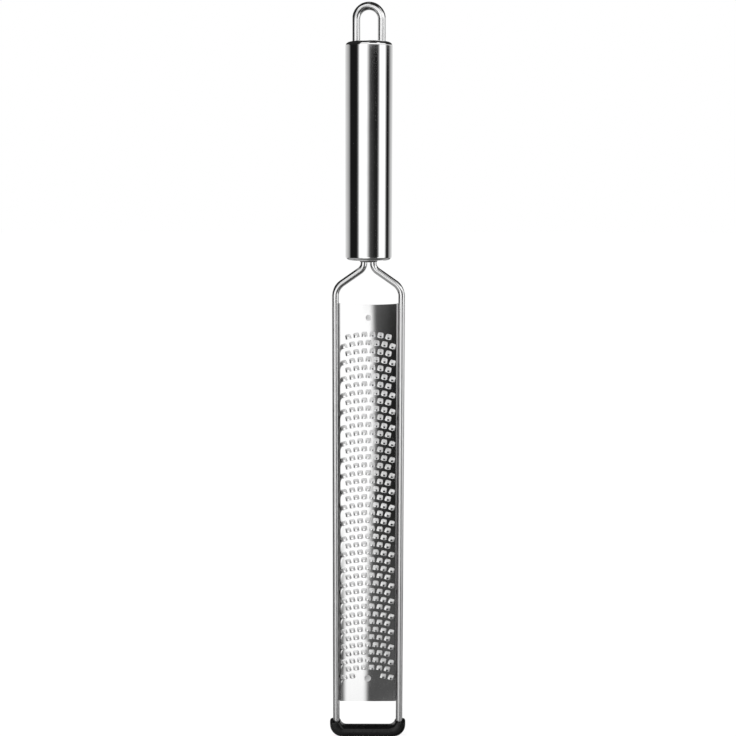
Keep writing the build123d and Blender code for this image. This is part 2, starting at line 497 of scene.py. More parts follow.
def drawn_lines_group():
    """Fine lines along the drawing or rolling direction, Z."""
    tree, desk, given = new_group(
        "Drawn lines", [("Across", 900.0), ("Along", 9.0), ("Contrast", 1.0)], ["Lines"]
    )
    place = desk.add("ShaderNodeTexCoord").outputs["Object"]
    scale = desk.add(
        "ShaderNodeCombineXYZ", {"X": given["Across"], "Y": given["Across"], "Z": given["Along"]}
    ).outputs[0]
    stretched = desk.add(
        "ShaderNodeVectorMath", {0: place, 1: scale}, operation="MULTIPLY"
    ).outputs[0]
    grain = desk.add(
        "ShaderNodeTexNoise", {"Vector": stretched, "Scale": 1.0, "Detail": 3.0, "Roughness": 0.6}
    ).outputs["Fac"]
    centred = desk.math("SUBTRACT", grain, 0.5)
    strong = desk.math("MULTIPLY", centred, given["Contrast"])
    close_group(desk, {"Lines": desk.math("ADD", strong, 0.5, clamp=True)})
    return tree


def handling_group():
    """Cloudy traces of handling and washing, and sparse hair scratches."""
    tree, desk, given = new_group(
        "Handling marks",
        [("Cloud scale", 60.0), ("Scratch scale", 260.0), ("Scratch share", 0.5)],
        ["Cloud", "Scratches"],
    )
    place = desk.add("ShaderNodeTexCoord").outputs["Object"]
    cloud = desk.add(
        "ShaderNodeTexNoise",
        {"Vector": place, "Scale": given["Cloud scale"], "Detail": 4.0, "Roughness": 0.55},
    ).outputs["Fac"]
    bent = desk.add(
        "ShaderNodeTexNoise", {"Vector": place, "Scale": 35.0, "Detail": 1.0}
    ).outputs["Color"]
    wander = desk.add(
        "ShaderNodeVectorMath", {0: bent, 1: (0.012, 0.012, 0.012)}, operation="MULTIPLY"
    ).outputs[0]
    moved = desk.add("ShaderNodeVectorMath", {0: place, 1: wander}, operation="ADD").outputs[0]
    cells = desk.add(
        "ShaderNodeTexVoronoi",
        {"Vector": moved, "Scale": given["Scratch scale"]},
        feature="DISTANCE_TO_EDGE",
    ).outputs["Distance"]
    hair = desk.span(cells, 0.0, 0.03, 1.0, 0.0, "LINEAR")
    patches = desk.add(
        "ShaderNodeTexNoise", {"Vector": place, "Scale": 110.0, "Detail": 1.0}
    ).outputs["Fac"]
    low = desk.math("SUBTRACT", 1.0, given["Scratch share"])
    kept = desk.span(patches, low, 1.0, 0.0, 1.0, "LINEAR")
    close_group(desk, {"Cloud": cloud, "Scratches": desk.math("MULTIPLY", hair, kept)})
    return tree


def pebble_group():
    """The fine pebbled skin of a moulded or cast surface."""
    tree, desk, given = new_group("Pebbled skin", [("Scale", 2600.0), ("Depth", 1.0)], ["Height"])
    place = desk.add("ShaderNodeTexCoord").outputs["Object"]
    pebbles = desk.add(
        "ShaderNodeTexVoronoi", {"Vector": place, "Scale": given["Scale"]}, feature="SMOOTH_F1"
    ).outputs["Distance"]
    swell = desk.add(
        "ShaderNodeTexNoise", {"Vector": place, "Scale": 420.0, "Detail": 2.0}
    ).outputs["Fac"]
    both = desk.math("ADD", desk.math("MULTIPLY", pebbles, 0.6), swell)
    close_group(desk, {"Height": desk.math("MULTIPLY", both, given["Depth"])})
    return tree


def shared_group(desk, name, maker, values):
    """Adds the node group of this name, which maker makes on first use, with these input values."""
    tree = bpy.data.node_groups.get(name) or maker()
    return desk.add("ShaderNodeGroup", values, node_tree=tree)


def start_material(name):
    """An empty node material with its Principled shader joined to the output."""
    material = bpy.data.materials.new(name)
    material.use_nodes = True
    material.node_tree.nodes.clear()
    desk = NodeDesk(material.node_tree)
    shader = desk.add("ShaderNodeBsdfPrincipled")
    desk.add("ShaderNodeOutputMaterial", {"Surface": shader.outputs[0]})
    return material, desk, shader


def join(desk, value, shader, name):
    """Joins an output to one of the shader's inputs."""
    desk.tree.links.new(value, shader.inputs[name])


def tinted(desk, share, dark, bright):
    """A colour that is dark where share is 0 and bright where it is 1."""
    node = desk.add("ShaderNodeMix", {0: share, 6: (*dark, 1.0), 7: (*bright, 1.0)}, data_type="RGBA")
    return node.outputs[2]


def steel(name, colour, roughness, lines, relief, waviness=0.0, shaded_groove_x=0.0, dulled_below=0.0):
    """Bright stainless steel with fine drawn lines, faint handling marks and hair scratches.

    The pair lines says how fine the drawn lines are across and along, and relief how deep they are.
    Beyond the groove distance from the middle, painted shade darkens the metal for the shadow in the gap
    beside each rail: dark grey and still metallic low down, paler and nearly matt towards the top. Below the
    height dulled_below, scouring has made it rougher.
    """
    material, desk, shader = start_material(name)
    shader.inputs["Metallic"].default_value = 1.0
    fineness = {"Across": lines[0], "Along": lines[1]}
    drawn = shared_group(desk, "Drawn lines", drawn_lines_group, fineness).outputs["Lines"]
    marks = shared_group(desk, "Handling marks", handling_group, {"Scratch share": 0.42})
    cloud = desk.span(marks.outputs["Cloud"], 0.35, 0.65)
    dull = tuple(c * 0.95 for c in colour)
    base = tinted(desk, cloud, dull, colour)
    rough_share = 0.0
    place = desk.add("ShaderNodeTexCoord").outputs["Object"]
    spot = desk.add("ShaderNodeSeparateXYZ", {0: place}).outputs
    # Painted shade along the sheet's edges: darkened for the shadow in the gap beside each rail, lighter and
    # less metallic towards the top
    if shaded_groove_x:
        soft_edge = 0.25 * MM
        lighten_from, lighten_to = BLADE_HIGH.z - 55 * MM, BLADE_HIGH.z - 8 * MM
        low_shade_grey, high_shade_grey = (0.17, 0.17, 0.17), (0.42, 0.42, 0.42)
        painted_groove_shade = desk.span(desk.math("ABSOLUTE", spot["X"]), shaded_groove_x, shaded_groove_x + soft_edge)
        shade_fade_up = desk.span(spot["Z"], lighten_from, lighten_to)
        shade_tone = tinted(desk, shade_fade_up, low_shade_grey, high_shade_grey)
        base = desk.add("ShaderNodeMix", {0: painted_groove_shade, 6: base, 7: shade_tone}, data_type="RGBA").outputs[2]
        pale = desk.math("MULTIPLY", desk.math("MULTIPLY", painted_groove_shade, shade_fade_up), 0.85)
        join(desk, desk.math("SUBTRACT", 1.0, pale), shader, "Metallic")
        rough_share = desk.math("MULTIPLY", painted_groove_shade, 0.12)
    if dulled_below:
        added = bpy.context.scene.zester_finish.rail_dulling
        fade = 12 * MM
        rough_share = desk.span(spot["Z"], dulled_below - fade, dulled_below, added, 0.0)
    join(desk, base, shader, "Base Color")
    streaky = desk.math("MULTIPLY", desk.math("SUBTRACT", drawn, 0.5), 0.04)
    cloudy = desk.span(marks.outputs["Cloud"], 0.35, 0.7, roughness * 0.85, roughness * 1.3)
    rough = desk.math("ADD", desk.math("ADD", cloudy, streaky), rough_share)
    scratched = desk.math("MULTIPLY", marks.outputs["Scratches"], 0.03)
    join(desk, desk.math("ADD", rough, scratched, clamp=True), shader, "Roughness")
    height = desk.math("MULTIPLY", drawn, relief)
    if waviness:
        waves = desk.add(
            "ShaderNodeTexNoise", {"Vector": place, "Scale": 55.0, "Detail": 1.0, "Roughness": 0.4}
        ).outputs["Fac"]
        height = desk.math("ADD", height, desk.math("MULTIPLY", waves, waviness))
    give_relief(desk, shader, height)
    return material


def give_relief(desk, shader, height):
    """Bends the shader's normals by a height field."""
    bump = desk.add("ShaderNodeBump", {"Height": height, "Distance": MM, "Strength": 1.0})
    join(desk, bump.outputs[0], shader, "Normal")


def give_pebbles(desk, shader, depth):
    """Gives the shader a pebbled skin of this depth."""
    skin = shared_group(desk, "Pebbled skin", pebble_group, {"Depth": depth})
    give_relief(desk, shader, skin.outputs["Height"])


def finish_of(maker):
    """The material that maker makes, made on first use."""
    if maker.__name__ not in FINISHES:
        FINISHES[maker.__name__] = maker()
    return FINISHES[maker.__name__]


def polished_steel():
    """The handle's and caps' finish."""
    finish = bpy.context.scene.zester_finish
    return steel(
        "polished_steel_finish", tuple(finish.polished), finish.polished_roughness, (1500.0, 14.0), 0.0008
    )


def loop_steel():
    """The loop rod's finish."""
    finish = bpy.context.scene.zester_finish
    return steel("loop_steel_finish", tuple(finish.wire), finish.wire_roughness, (2400.0, 40.0), 0.001)


def wire_steel():
    """The bent wire's finish, bright at the neck and duller along the rails."""
    finish = bpy.context.scene.zester_finish
    return steel(
        "wire_steel_finish",
        tuple(finish.wire),
        finish.wire_roughness,
        (2400.0, 40.0),
        0.0016,
        dulled_below=BLADE_HIGH.z + 8 * MM,
    )


def blade_steel():
    """The rolled sheet's finish, with painted shade along its edges beside the rails."""
    finish = bpy.context.scene.zester_finish
    # Where the painted shade of the gap beside each rail begins, measured from the middle
    shaded_groove_x = BLADE_HIGH.x - 0.75 * MM
    return steel(
        "blade_steel_finish",
        tuple(finish.blade),
        finish.blade_roughness,
        (1800.0, 30.0),
        0.0012,
        0.006,
        shaded_groove_x,
    )


def pressed_steel():
    """The blade's steel where the press stretched it: satin instead of bright."""
    finish = bpy.context.scene.zester_finish
    return steel(
        "pressed_steel_finish", tuple(finish.pressed), finish.pressed_roughness, (1800.0, 60.0), 0.002
    )


def weld_metal():
    """Dull, cloudy weld metal with a cast skin."""
    material, desk, shader = start_material("weld_metal_finish")
    colour = tuple(bpy.context.scene.zester_finish.weld)
    shader.inputs["Metallic"].default_value = 1.0
    marks = shared_group(desk, "Handling marks", handling_group, {"Cloud scale": 420.0})
    cloud = desk.span(marks.outputs["Cloud"], 0.3, 0.7)
    base = tinted(desk, cloud, tuple(c * 0.55 for c in colour), colour)
    join(desk, base, shader, "Base Color")
    join(desk, desk.span(cloud, 0.0, 1.0, 0.52, 0.34), shader, "Roughness")
    give_pebbles(desk, shader, 0.03)
    return material


def black_rubber():
    """Satin black moulded rubber, a little greyer where it is rubbed."""
    material, desk, shader = start_material("black_rubber_finish")
    colour = tuple(bpy.context.scene.zester_finish.rubber)
    shader.inputs["IOR"].default_value = 1.38
    marks = shared_group(desk, "Handling marks", handling_group, {"Cloud scale": 150.0})
    cloud = desk.span(marks.outputs["Cloud"], 0.35, 0.7)
    base = tinted(desk, cloud, colour, tuple(c * 1.7 for c in colour))
    join(desk, base, shader, "Base Color")
    join(desk, desk.span(cloud, 0.0, 1.0, 0.16, 0.23), shader, "Roughness")
    give_pebbles(desk, shader, 0.035)
    return material


def dress_node(node, material):
    """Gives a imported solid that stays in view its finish."""
    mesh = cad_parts[node].data
    mesh.materials.clear()
    mesh.materials.append(material)


class ZESTER_OT_handle(bpy.types.Operator):
    """Build the handle tube and finish its two pressed caps"""

    bl_idname = "zester.handle"
    bl_label = "Handle and caps"

    def execute(self, context):
        sizes = context.scene.zester_sizes
        outer = TUBE_HIGH.y
        bore = outer - sizes.tube_wall
        rim = sizes.rim_radius
        lip = math.acos((bore - outer + rim) / rim)
        rise = rim * math.sin(lip)
        profile = arc((outer - rim, TUBE_LOW.z + rise), rim, -lip, 0, 10)
        profile += [(outer, TUBE_LOW.z + rise + SUPPORT), (outer, TUBE_HIGH.z - rise - SUPPORT)]
        profile += arc((outer - rim, TUBE_HIGH.z - rise), rim, 0, lip, 10)
        profile[0] = (bore, TUBE_LOW.z)
        profile[-1] = (bore, TUBE_HIGH.z)
        points, faces = lathe(profile, segments=160)
        tube = new_piece("handle_tube_lathed", points, faces, finish_of(polished_steel))
        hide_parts("handle_tube")
        dress_node("handle_top_cap", finish_of(polished_steel))
        dress_node("handle_bottom_cap", finish_of(polished_steel))
        return {"FINISHED"}


class ZESTER_OT_loop(bpy.types.Operator):
    """Build the hanging loop from its round rod"""

    bl_idname = "zester.loop"
    bl_label = "Hanging loop"

    def execute(self, context):
        sizes = context.scene.zester_sizes
        rod = sizes.loop_radius
        leg_x = LOOP_HIGH.x - rod
        crown = LOOP_HIGH.z - rod
        stations = [(Vector((-leg_x, LOOP_LOW.z)), Vector((0, 1)))]
        steps = 48
        for step in range(steps + 1):
            angle = math.pi - math.pi * step / steps
            place = Vector((leg_x * math.cos(angle), crown - leg_x + leg_x * math.sin(angle)))
            stations.append((place, Vector((math.sin(angle), -math.cos(angle)))))
        stations.append((Vector((leg_x, LOOP_LOW.z)), Vector((0, -1))))
        points, faces = sweep_rod(stations, rod, sizes.rod_sides)
        loop = new_piece("hanging_loop_rod", points, faces, finish_of(loop_steel))
        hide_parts("hanging_loop")
        return {"FINISHED"}


class ZESTER_OT_frame_wire(bpy.types.Operator):
    """Build the one bent wire that is the neck, both rails and the bottom run"""

    bl_idname = "zester.frame_wire"
    bl_label = "Frame wire"

    def execute(self, context):
        sizes = context.scene.zester_sizes
        wire = sizes.wire_radius
        rail_x = WIRE_HIGH.x - wire
        top = WIRE_HIGH.z
        run = WIRE_LOW.z + wire
        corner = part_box("handle_bottom_cap")[0].z - sizes.neck_corner_drop
        shoulder = corner - (rail_x - sizes.leg_x) * math.tan(sizes.neck_angle)
        half = [(sizes.leg_x, top), (sizes.leg_x, corner), (rail_x, shoulder), (rail_x, run)]
        corners = [(-x, z) for x, z in half] + half[::-1]
        bends = [sizes.neck_corner_radius, sizes.shoulder_radius, sizes.foot_bend_radius]
        stations = bent_line(corners, bends + bends[::-1])
        points, faces = sweep_rod(stations, wire, sizes.rod_sides)
        piece = new_piece("frame_wire_bent", points, faces, finish_of(wire_steel))
        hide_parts("frame_wire")
        return {"FINISHED"}


class BladeSheet:
    """The blade's front and back skins, built from grid cells and pressed blocks in the unrolled sheet."""

    # Pitch of the teeth across and down, and the arc that each row follows
    COLUMN = 3.85 * MM
    ROW = 3.975 * MM
    ROWS = 44
    ROW_RADIUS = 36.0 * MM
    FIRST_ROW_INSET = 14.6 * MM
    # Grid cells along a side of a tooth's block, and round the block
    BLOCK = 8
    AROUND = 4 * BLOCK
    # Grid cells above and below the rows, and on each half of the toothed face and outside it
    TOP_CELLS = 24
    BOTTOM_CELLS = 22
    FACE_CELLS = 28
    EDGE_CELLS = 14
    # How far the blade's two ends are cut in, in the middle
    TOP_DIP = 0.35 * MM
    BOTTOM_RISE = 0.85 * MM

    def __init__(self, sizes):
        self.sizes = sizes
        self.side = BLADE_HIGH.x
        self.edge_y = -sizes.wire_radius
        self.back_y = BLADE_HIGH.y
        self.radius = (self.side**2 + sizes.arch_rise**2) / (2 * sizes.arch_rise)
        self.front_y = self.edge_y - sizes.arch_rise
        self.arch_y = self.front_y + self.radius
        bend = sizes.edge_bend
        self.bend_x = self.side - bend
        self.bend_angle = math.asin(self.bend_x / (self.radius - bend))
        self.bend_y = self.arch_y - (self.radius - bend) * math.cos(self.bend_angle)
        self.face_half = self.radius * math.sin(self.bend_angle)
        self.bend_run = bend * (math.pi / 2 - self.bend_angle)
        self.half = self.face_half + self.bend_run + self.back_y - self.bend_y
        self.cell = self.COLUMN / self.BLOCK
        self.grid = {}
        self.sheet_points = []
        self.faces = []
        self.pressed = []

    def section(self, across):
        """Place and outward direction on the blade's front, at a distance across from its middle line."""
        sign = -1 if across < 0 else 1
        reach = abs(across)
        if reach <= self.face_half:
            angle = math.asin(reach / self.radius)
            place = (reach, self.arch_y - self.radius * math.cos(angle))
            out = (math.sin(angle), -math.cos(angle))
        elif reach <= self.face_half + self.bend_run:
            angle = self.bend_angle + (reach - self.face_half) / self.sizes.edge_bend
            out = (math.sin(angle), -math.cos(angle))
            bend = self.sizes.edge_bend
            place = (self.bend_x + bend * out[0], self.bend_y + bend * out[1])
        else:
            place = (self.side, self.bend_y + reach - self.face_half - self.bend_run)
            out = (1, 0)
        return (sign * place[0], place[1]), (sign * out[0], out[1])

    def across(self, i):
        """Distance across from the middle line of grid column i."""
        reach = abs(i)
        if reach <= self.FACE_CELLS:
            return i * self.cell
        start = self.FACE_CELLS * self.cell
        step = (self.half - start) / self.EDGE_CELLS
        return math.copysign(start + (reach - self.FACE_CELLS) * step, i)

    def row_drop(self, across):
        """How far a row of teeth has fallen below its middle, at a distance across."""
        x = min(abs(across), self.side)
        return self.ROW_RADIUS - math.sqrt(self.ROW_RADIUS**2 - x**2)

    def grid_height(self, across, j):
        """Height of grid line j at a distance across: 0 is above the first row of teeth."""
        arch = 1 - (min(abs(across), self.side) / self.side) ** 2
        upper = BLADE_HIGH.z - self.FIRST_ROW_INSET + self.ROW / 2 - self.row_drop(across)
        last = self.ROWS * self.BLOCK
        if j < 0:
            top = BLADE_HIGH.z - self.TOP_DIP * arch
            return upper + (top - upper) * -j / self.TOP_CELLS
        if j <= last:
            return upper - j * self.ROW / self.BLOCK
        lower = upper - last * self.ROW / self.BLOCK
        bottom = BLADE_LOW.z + self.BOTTOM_RISE * arch
        return lower + (bottom - lower) * (j - last) / self.BOTTOM_CELLS

    def edge_dent(self, across, z):
        """Depth of the dent beside each wide row of teeth, where the left bend was drawn in."""
        reach = -across
        start = self.face_half - 0.55 * MM
        if reach < start:
            return 0.0
        half_length = 1.6 * MM
        first = BLADE_HIGH.z - self.FIRST_ROW_INSET - self.ROW - self.row_drop(across) - 0.6 * MM
        turns = (first - z) / (2 * self.ROW)
        nearest = min(max(round(turns), 0), self.ROWS // 2 - 1)
        away = (turns - nearest) * 2 * self.ROW
        length = math.exp(-((away / half_length) ** 2))
        rise = smooth_step(reach, start, start + 0.6 * MM)
        fall = 1 - smooth_step(reach, self.face_half + 0.9 * MM, self.face_half + 1.9 * MM)
        return self.sizes.scallop * length * rise * fall

    def point(self, across, z, height=0.0, thickness=None):
        """Adds a point pair, front and back, and gives its number."""
        sheet = self.sizes.sheet if thickness is None else thickness
        self.sheet_points.append((across, z, height - self.edge_dent(across, z), sheet))
        return len(self.sheet_points) - 1

    def grid_point(self, i, j):
        """The number of the point where grid lines i and j cross."""
        if (i, j) not in self.grid:
            across = self.across(i)
            self.grid[i, j] = self.point(across, self.grid_height(across, j))
        return self.grid[i, j]

    def block_rim(self, i, j):
        """The grid points round a block whose upper left corner is at i, j, from its lower left."""
        side = self.BLOCK
        walk = [(i + k, j + side) for k in range(side)]
        walk += [(i + side, j + side - k) for k in range(side)]
        walk += [(i + side - k, j) for k in range(side)]
        walk += [(i, j + k) for k in range(side)]
        return [self.grid_point(*step) for step in walk]

    def fill(self, ring, height_at):
        """Fills a ring of points with a grid spread between its sides, raised by height_at."""
        side = self.BLOCK
        bottom = ring[0 : side + 1]
        right = ring[side : 2 * side + 1]
        top = ring[2 * side : 3 * side + 1][::-1]
        left = (ring[3 * side :] + ring[:1])[::-1]
        table = []
        for b in range(side + 1):
            line = []
            for a in range(side + 1):
                if b in (0, side):
                    line.append((bottom if b == 0 else top)[a])
                elif a in (0, side):
                    line.append((left if a == 0 else right)[b])
                else:
                    u, v = a / side, b / side
                    spot = [0.0, 0.0, 0.0, 0.0]
                    shares = [
                        (bottom[a], 1 - v),
                        (top[a], v),
                        (left[b], 1 - u),
                        (right[b], u),
                        (bottom[0], -(1 - u) * (1 - v)),
                        (bottom[side], -u * (1 - v)),
                        (top[0], -(1 - u) * v),
                        (top[side], -u * v),
                    ]
                    for number, share in shares:
                        for k in range(4):
                            spot[k] += self.sheet_points[number][k] * share
                    spot[2] += height_at(u, v)
                    self.sheet_points.append(tuple(spot))
                    line.append(len(self.sheet_points) - 1)
            table.append(line)
        for b in range(side):
            for a in range(side):
                self.faces.append(
                    (table[b][a], table[b][a + 1], table[b + 1][a + 1], table[b + 1][a])
                )

    def horseshoe(self, foot_half, top_half, low, high, corner):
        """Outline of a tooth: a block's steps along its mouth, then the rest up, over and down."""
        lean = math.atan2(foot_half - top_half, high - low)
        path = [(foot_half, low)]
        path += arc((top_half - corner, high - corner), corner, lean, math.pi / 2, 8)
        path += [(-x, z) for x, z in reversed(path)]
        lengths = [0.0]
        for first, second in zip(path, path[1:]):
            lengths.append(lengths[-1] + math.dist(first, second))
        outline = [(foot_half * (2 * k / self.BLOCK - 1), low) for k in range(self.BLOCK)]
        flank_steps = self.AROUND - self.BLOCK
        k = 0
        for step in range(flank_steps):
            want = lengths[-1] * step / flank_steps
            while lengths[k + 1] < want:
                k += 1
            share = (want - lengths[k]) / (lengths[k + 1] - lengths[k])
            outline.append(tuple(a + (b - a) * share for a, b in zip(path[k], path[k + 1])))
        return outline

    def tooth_block(self, column, row):
        """The upper left corner of the block that a tooth stands in."""
        return (round(2 * column) - 1) * self.BLOCK // 2, row * self.BLOCK

    def tooth(self, column, row):
        """Presses one tooth: a horseshoe flank round a crown, open towards the foot."""
        sizes = self.sizes
        centre = column * self.COLUMN
        middle = self.grid_height(centre, row * self.BLOCK + self.BLOCK // 2)
        turn = math.asin(centre / self.ROW_RADIUS)
        foot_half, top_half = 1.5 * MM, 1.36 * MM
        low, high = -1.0 * MM, 1.42 * MM
        corner, crown_corner = 0.62 * MM, 0.22 * MM
        crown_thinning = 0.58
        rim = self.block_rim(*self.tooth_block(column, row))

        def ring(outline, height, thickness):
            numbers = []
            for u, v in outline:
                across = centre + u * math.cos(turn) + v * math.sin(turn)
                z = middle - u * math.sin(turn) + v * math.cos(turn)
                numbers.append(self.point(across, z, height, thickness))
            return numbers

        slot = self.horseshoe(1.34 * MM, 1.42 * MM, low - 0.24 * MM, high + 0.1 * MM, 0.7 * MM)
        rings = [ring(slot, 0.0, sizes.sheet)]
        for share in (0.0, 0.1, 0.22, 0.5, 0.78, 0.9, 1.0):
            inset = share * sizes.tooth_flank
            outline = self.horseshoe(
                foot_half - inset,
                top_half - inset * 0.9,
                low,
                high - inset * 1.6,
                corner - (corner - crown_corner) * share,
            )
            rise = even_slope(share)
            thickness = sizes.sheet * (1 - crown_thinning * rise)
            rings.append(ring(outline, sizes.tooth_rise * rise, thickness))
        stitched = [rim] + rings
        for k, (first, second) in enumerate(zip(stitched, stitched[1:])):
            for s in range(self.AROUND):
                slot_open = k == 1 and 0 < s < self.BLOCK - 1
                mouth_open = k > 1 and s < self.BLOCK
                if slot_open or mouth_open:
                    continue
                after = (s + 1) % self.AROUND
                if k > 1:
                    self.pressed.append(len(self.faces))
                self.faces.append((first[s], first[after], second[after], second[s]))
        crown = 0.05 * MM
        self.fill(rings[-1], lambda u, v: crown * math.sin(math.pi * u) * (1 - v))

    def press_mark(self, i, j, z, mark_radius):
        """A round shallow hollow pressed in the middle line."""
        depth = 0.07 * MM
        rings = [self.block_rim(i, j)]
        for share in (1.12, 1.0, 0.86, 0.68, 0.48):
            numbers = []
            for k in range(self.AROUND):
                angle = math.radians(-135 + 360 * k / self.AROUND)
                across = mark_radius * share * math.cos(angle)
                height = z + mark_radius * share * math.sin(angle)
                fall = -depth * (1 - smooth_step(share, 0.2, 1.1))
                numbers.append(self.point(across, height, fall))
            rings.append(numbers)
        # The two outer strips lie round the hollow and keep the sheet's own finish
        start = len(self.faces) + 2 * self.AROUND
        stitch_rings(self.faces, rings)
        self.fill(rings[-1], lambda u, v: 0.0)
        self.pressed += range(start, len(self.faces))

    def build(self):
        """All cells and blocks, and the strips that close every rim between front and back."""
        left = -self.BLOCK // 2
        marks = [
            (left, -2 * self.BLOCK, BLADE_HIGH.z - 6.4 * MM, 1.35 * MM),
            (left, self.ROWS * self.BLOCK - 5, BLADE_LOW.z + 12.9 * MM, 1.6 * MM),
        ]
        teeth = []
        for row in range(self.ROWS):
            count = 7 if row % 2 else 6
            for k in range(count):
                if row == self.ROWS - 1 and 2 <= k < count - 2:
                    continue
                teeth.append((k - (count - 1) / 2, row))
        covered = set()
        for i, j in [mark[:2] for mark in marks] + [self.tooth_block(*tooth) for tooth in teeth]:
            covered.update((i + a, j + b) for a in range(self.BLOCK) for b in range(self.BLOCK))
        reach = self.FACE_CELLS + self.EDGE_CELLS
        for j in range(-self.TOP_CELLS, self.ROWS * self.BLOCK + self.BOTTOM_CELLS):
            for i in range(-reach, reach):
                if (i, j) not in covered:
                    corners = ((i, j + 1), (i + 1, j + 1), (i + 1, j), (i, j))
                    self.faces.append(tuple(self.grid_point(*c) for c in corners))
        for column, row in teeth:
            self.tooth(column, row)
        for mark in marks:
            self.press_mark(*mark)

        front, back = [], []
        for across, z, height, thickness in self.sheet_points:
            (x, y), (out_x, out_y) = self.section(across)
            front.append((x + out_x * height, y + out_y * height, z))
            depth = height - thickness
            back.append((x + out_x * depth, y + out_y * depth, z))
        total = len(front)
        edges = {}
        for face in self.faces:
            for first, second in zip(face, face[1:] + face[:1]):
                key = (min(first, second), max(first, second))
                edges[key] = None if key in edges else (first, second)
        faces = list(self.faces)
        faces += [tuple(n + total for n in reversed(face)) for face in self.faces]
        for edge in edges.values():
            if edge:
                first, second = edge
                faces.append((second, first, first + total, second + total))
        return front + back, faces


class ZESTER_OT_blade(bpy.types.Operator):
    """Build the arched blade with its turned edges, pressed teeth and press marks"""

    bl_idname = "zester.blade"
    bl_label = "Blade"

    def execute(self, context):
        sheet = BladeSheet(context.scene.zester_sizes)
        points, faces = sheet.build()
        blade = new_piece("blade_pressed", points, faces, finish_of(blade_steel))
        blade.data.materials.append(finish_of(pressed_steel))
        for number in sheet.pressed:
            blade.data.polygons[number].material_index = 1
            blade.data.polygons[number + len(sheet.faces)].material_index = 1
        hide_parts("blade")
        return {"FINISHED"}


class ZESTER_OT_foot(bpy.types.Operator):
    """Build the rubber foot as one moulded sleeve with rounded collars"""

    bl_idname = "zester.foot"
    bl_label = "Foot"

    def execute(self, context):
        sizes = context.scene.zester_sizes
        side = FOOT_HIGH.x
        top = FOOT_HIGH.z
        half_depth = FOOT_HIGH.y
        run_top = 5.4 * MM
        inner_x = 13.75 * MM
        outer_radius, inner_radius = 6.3 * MM, 3.2 * MM
        rail_x = WIRE_HIGH.x - sizes.wire_radius

        outer = [(side, top), (side, top - 0.3 * MM), (side, top - 1.0 * MM)]
        outer += arc((side - outer_radius, outer_radius), outer_radius, 0, -math.pi / 2, 18)
        inner_start = math.asin((run_top + inner_radius - top) / inner_radius)
        inner = arc(
            (inner_x - inner_radius, run_top + inner_radius), inner_radius, -inner_start, -math.pi / 2, 21
        )
        runs = 10
        for k in range(1, runs + 1):
            share = k / runs
            outer.append(((side - outer_radius) * (1 - share), 0.0))
            inner.append(((inner_x - inner_radius) * (1 - share), run_top))

        sides = 40
        points = []

        def section_ring(first, second, inset, depth_half):
            """A rounded rectangle between an outer and an inner point of the outline."""
            numbers = []
            centre = ((first[0] + second[0]) / 2, (first[1] + second[1]) / 2)
            width = math.dist(first, second) / 2
            way = ((first[0] - second[0]) / (2 * width), (first[1] - second[1]) / (2 * width))
            width -= inset
            depth = depth_half - inset
            # 2 gives an ellipse, and a higher power squarer corners
            power = 3.4
            for k in range(sides):
                angle = 2 * math.pi * k / sides
                c, s = math.cos(angle), math.sin(angle)
                across = width * math.copysign(abs(c) ** (2 / power), c)
                deep = depth * math.copysign(abs(s) ** (2 / power), s)
                points.append((centre[0] + way[0] * across, deep, centre[1] + way[1] * across))
                numbers.append(len(points) - 1)
            return numbers

        def collar(first, second, centre_x):
            """The collar's rounded rim, and the bore that the rail comes out of."""
            found = []
            bore = sizes.wire_radius + 0.03 * MM
            bore_depth = 1.6 * MM
            for z in (top - bore_depth, top):
                ring = []
                for k in range(sides):
                    angle = 2 * math.pi * k / sides
                    points.append((centre_x + bore * math.cos(angle), bore * math.sin(angle), z))
                    ring.append(len(points) - 1)
                found.append(ring)
            for drop, inset in ((0.0, 0.32), (0.05, 0.15), (0.15, 0.05), (0.32, 0.0)):
                moved = [(p[0], p[1] - drop * MM) for p in (first, second)]
                found.append(section_ring(moved[0], moved[1], inset * MM, half_depth))
            return found

        rings = collar(outer[0], inner[0], rail_x)
        for first, second in zip(outer[2:], inner[2:]):
            rings.append(section_ring(first, second, 0.0, half_depth))
        offset = len(points)
        points += [(-x, y, z) for x, y, z in points]
        faces = []
        stitch_rings(faces, rings)
        right = len(faces)
        stitch_rings(faces, [[n + offset for n in ring] for ring in rings])
        faces[right:] = [tuple(reversed(face)) for face in faces[right:]]
        # The two halves share their middle ring
        for number in rings[-1]:
            points[number] = (0.0, *points[number][1:])
        join_ring = {n + offset: n for n in rings[-1]}
        faces = [tuple(join_ring.get(n, n) for n in face) for face in faces]
        foot = new_piece("foot_moulded", points, faces, finish_of(black_rubber))
        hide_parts("foot")
        return {"FINISHED"}


def bead(points, faces, centre, radii, seed):
    """Adds a rippled bead of weld metal, long along Z."""
    steps, sides = 22, 20
    ripples = 4
    rings = []
    for a in range(1, steps):
        angle = math.pi * a / steps
        height = -math.cos(angle)
        ripple = 1 + 0.07 * math.sin(height * ripples * math.pi)
        ring = []
        for b in range(sides):
            turn = 2 * math.pi * b / sides
            spot = Vector((math.cos(turn), math.sin(turn), height * 2 + seed))
            swell = math.sin(angle) ** 0.8 * ripple * (1 + 0.10 * noise.noise(spot * 1.7))
            ring.append(len(points))
            points.append(
                (
                    centre[0] + radii[0] * math.cos(turn) * swell,
                    centre[1] + radii[1] * math.sin(turn) * swell,
                    centre[2] + radii[2] * height,
                )
            )
        rings.append(ring)
    stitch_rings(faces, rings)
    faces.append(tuple(reversed(rings[0])))
    faces.append(tuple(rings[-1]))


